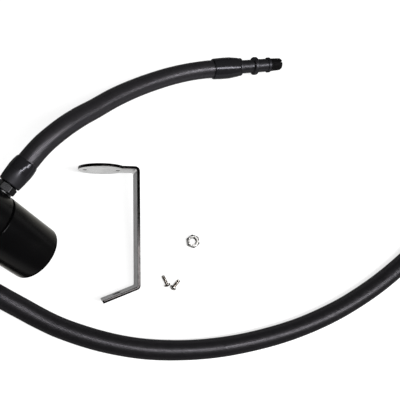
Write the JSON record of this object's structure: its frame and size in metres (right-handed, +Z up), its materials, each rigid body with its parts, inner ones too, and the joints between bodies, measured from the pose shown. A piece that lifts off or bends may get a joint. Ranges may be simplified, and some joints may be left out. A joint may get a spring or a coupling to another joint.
{
  "type": "crankcase oil separator kit",
  "caption": "Two-piece oil catch canister with two rubber hoses ending in quick connectors, a bent steel bracket, screws and a nut, laid out flat.",
  "frame": {"origin": "on the table under the middle of the canister, bracket, screws and nut, hoses left out", "axes": "+Z up from the table; +X from the canister towards the nut, the long way of the hard parts; +Y towards the shorter hose's connector"},
  "size_m": [0.5974, 0.3446, 0.0944],
  "materials": {
    "black_anodised": "satin black anodised aluminium, soft highlights, crisp turned edges",
    "black_fitting": "satin black anodised aluminium hose fittings",
    "hose_rubber": "matte black rubber with a fine fabric impression",
    "shrink_band": "glossy black shrink sleeve",
    "black_nylon": "moulded black nylon, slightly rough",
    "seal_rubber": "smooth black nitrile rubber",
    "seal_washer": "plain soft aluminium washer",
    "inner_steel": "plain stainless sheet and rod",
    "steel_mesh": "knitted stainless wire",
    "bracket_steel": "brushed stainless strip with smooth sheared edges",
    "fastener_steel": "bright zinc plated or stainless fasteners"
  },
  "bodies": {
    "head": {"cap": "black_anodised", "inlet_barb_fitting": "black_fitting", "outlet_elbow_fitting": "black_fitting", "inlet_seal_washer": "seal_washer", "outlet_seal_washer": "seal_washer", "centre_stud": "inner_steel", "upper_baffle_plate": "inner_steel", "lower_baffle_plate": "inner_steel", "mesh_filter": "steel_mesh", "filter_spacer_sleeve": "inner_steel", "stud_washer": "inner_steel", "stud_lock_nut": "inner_steel", "inlet_drop_tube": "inner_steel", "hose_1": "hose_rubber", "hose_1_near_band": "shrink_band", "hose_1_far_band": "shrink_band", "hose_1_connector": "black_nylon", "hose_2": "hose_rubber", "hose_2_near_band": "shrink_band", "hose_2_far_band": "shrink_band", "hose_2_connector": "black_nylon"},
    "seal": {"cup_o_ring": "seal_rubber"},
    "cup": {"cup": "black_anodised"},
    "bracket": {"bracket": "bracket_steel"},
    "screw_1": {"bracket_screw_1": "fastener_steel"},
    "screw_2": {"bracket_screw_2": "fastener_steel"},
    "nut": {"mounting_nut": "fastener_steel"}
  },
  "joints": [
    {"name": "seal_slide", "type": "slide", "parent": "head", "child": "seal", "axis": [0.625, -0.4311, -0.6508], "range_m": [0, 0.008]},
    {"name": "cup_unscrew", "type": "hinge", "parent": "seal", "child": "cup", "pos_m": [-0.0461, -0.02063, 0.01924], "axis": [0.625, -0.4311, -0.6508], "range_deg": [0, 1440]},
    {"name": "bracket_lift", "type": "slide", "parent": "head", "child": "bracket", "axis": [0, 0, 1], "range_m": [0, 0.1]},
    {"name": "screw_1_lift", "type": "slide", "parent": "head", "child": "screw_1", "axis": [0, 0, 1], "range_m": [0, 0.05]},
    {"name": "screw_2_lift", "type": "slide", "parent": "head", "child": "screw_2", "axis": [0, 0, 1], "range_m": [0, 0.05]},
    {"name": "nut_lift", "type": "slide", "parent": "head", "child": "nut", "axis": [0, 0, 1], "range_m": [0, 0.05]}
  ],
  "couplings": [
    {"joint": "seal_slide", "follows": "cup_unscrew", "m_per_rad": 0.0003183}
  ]
}
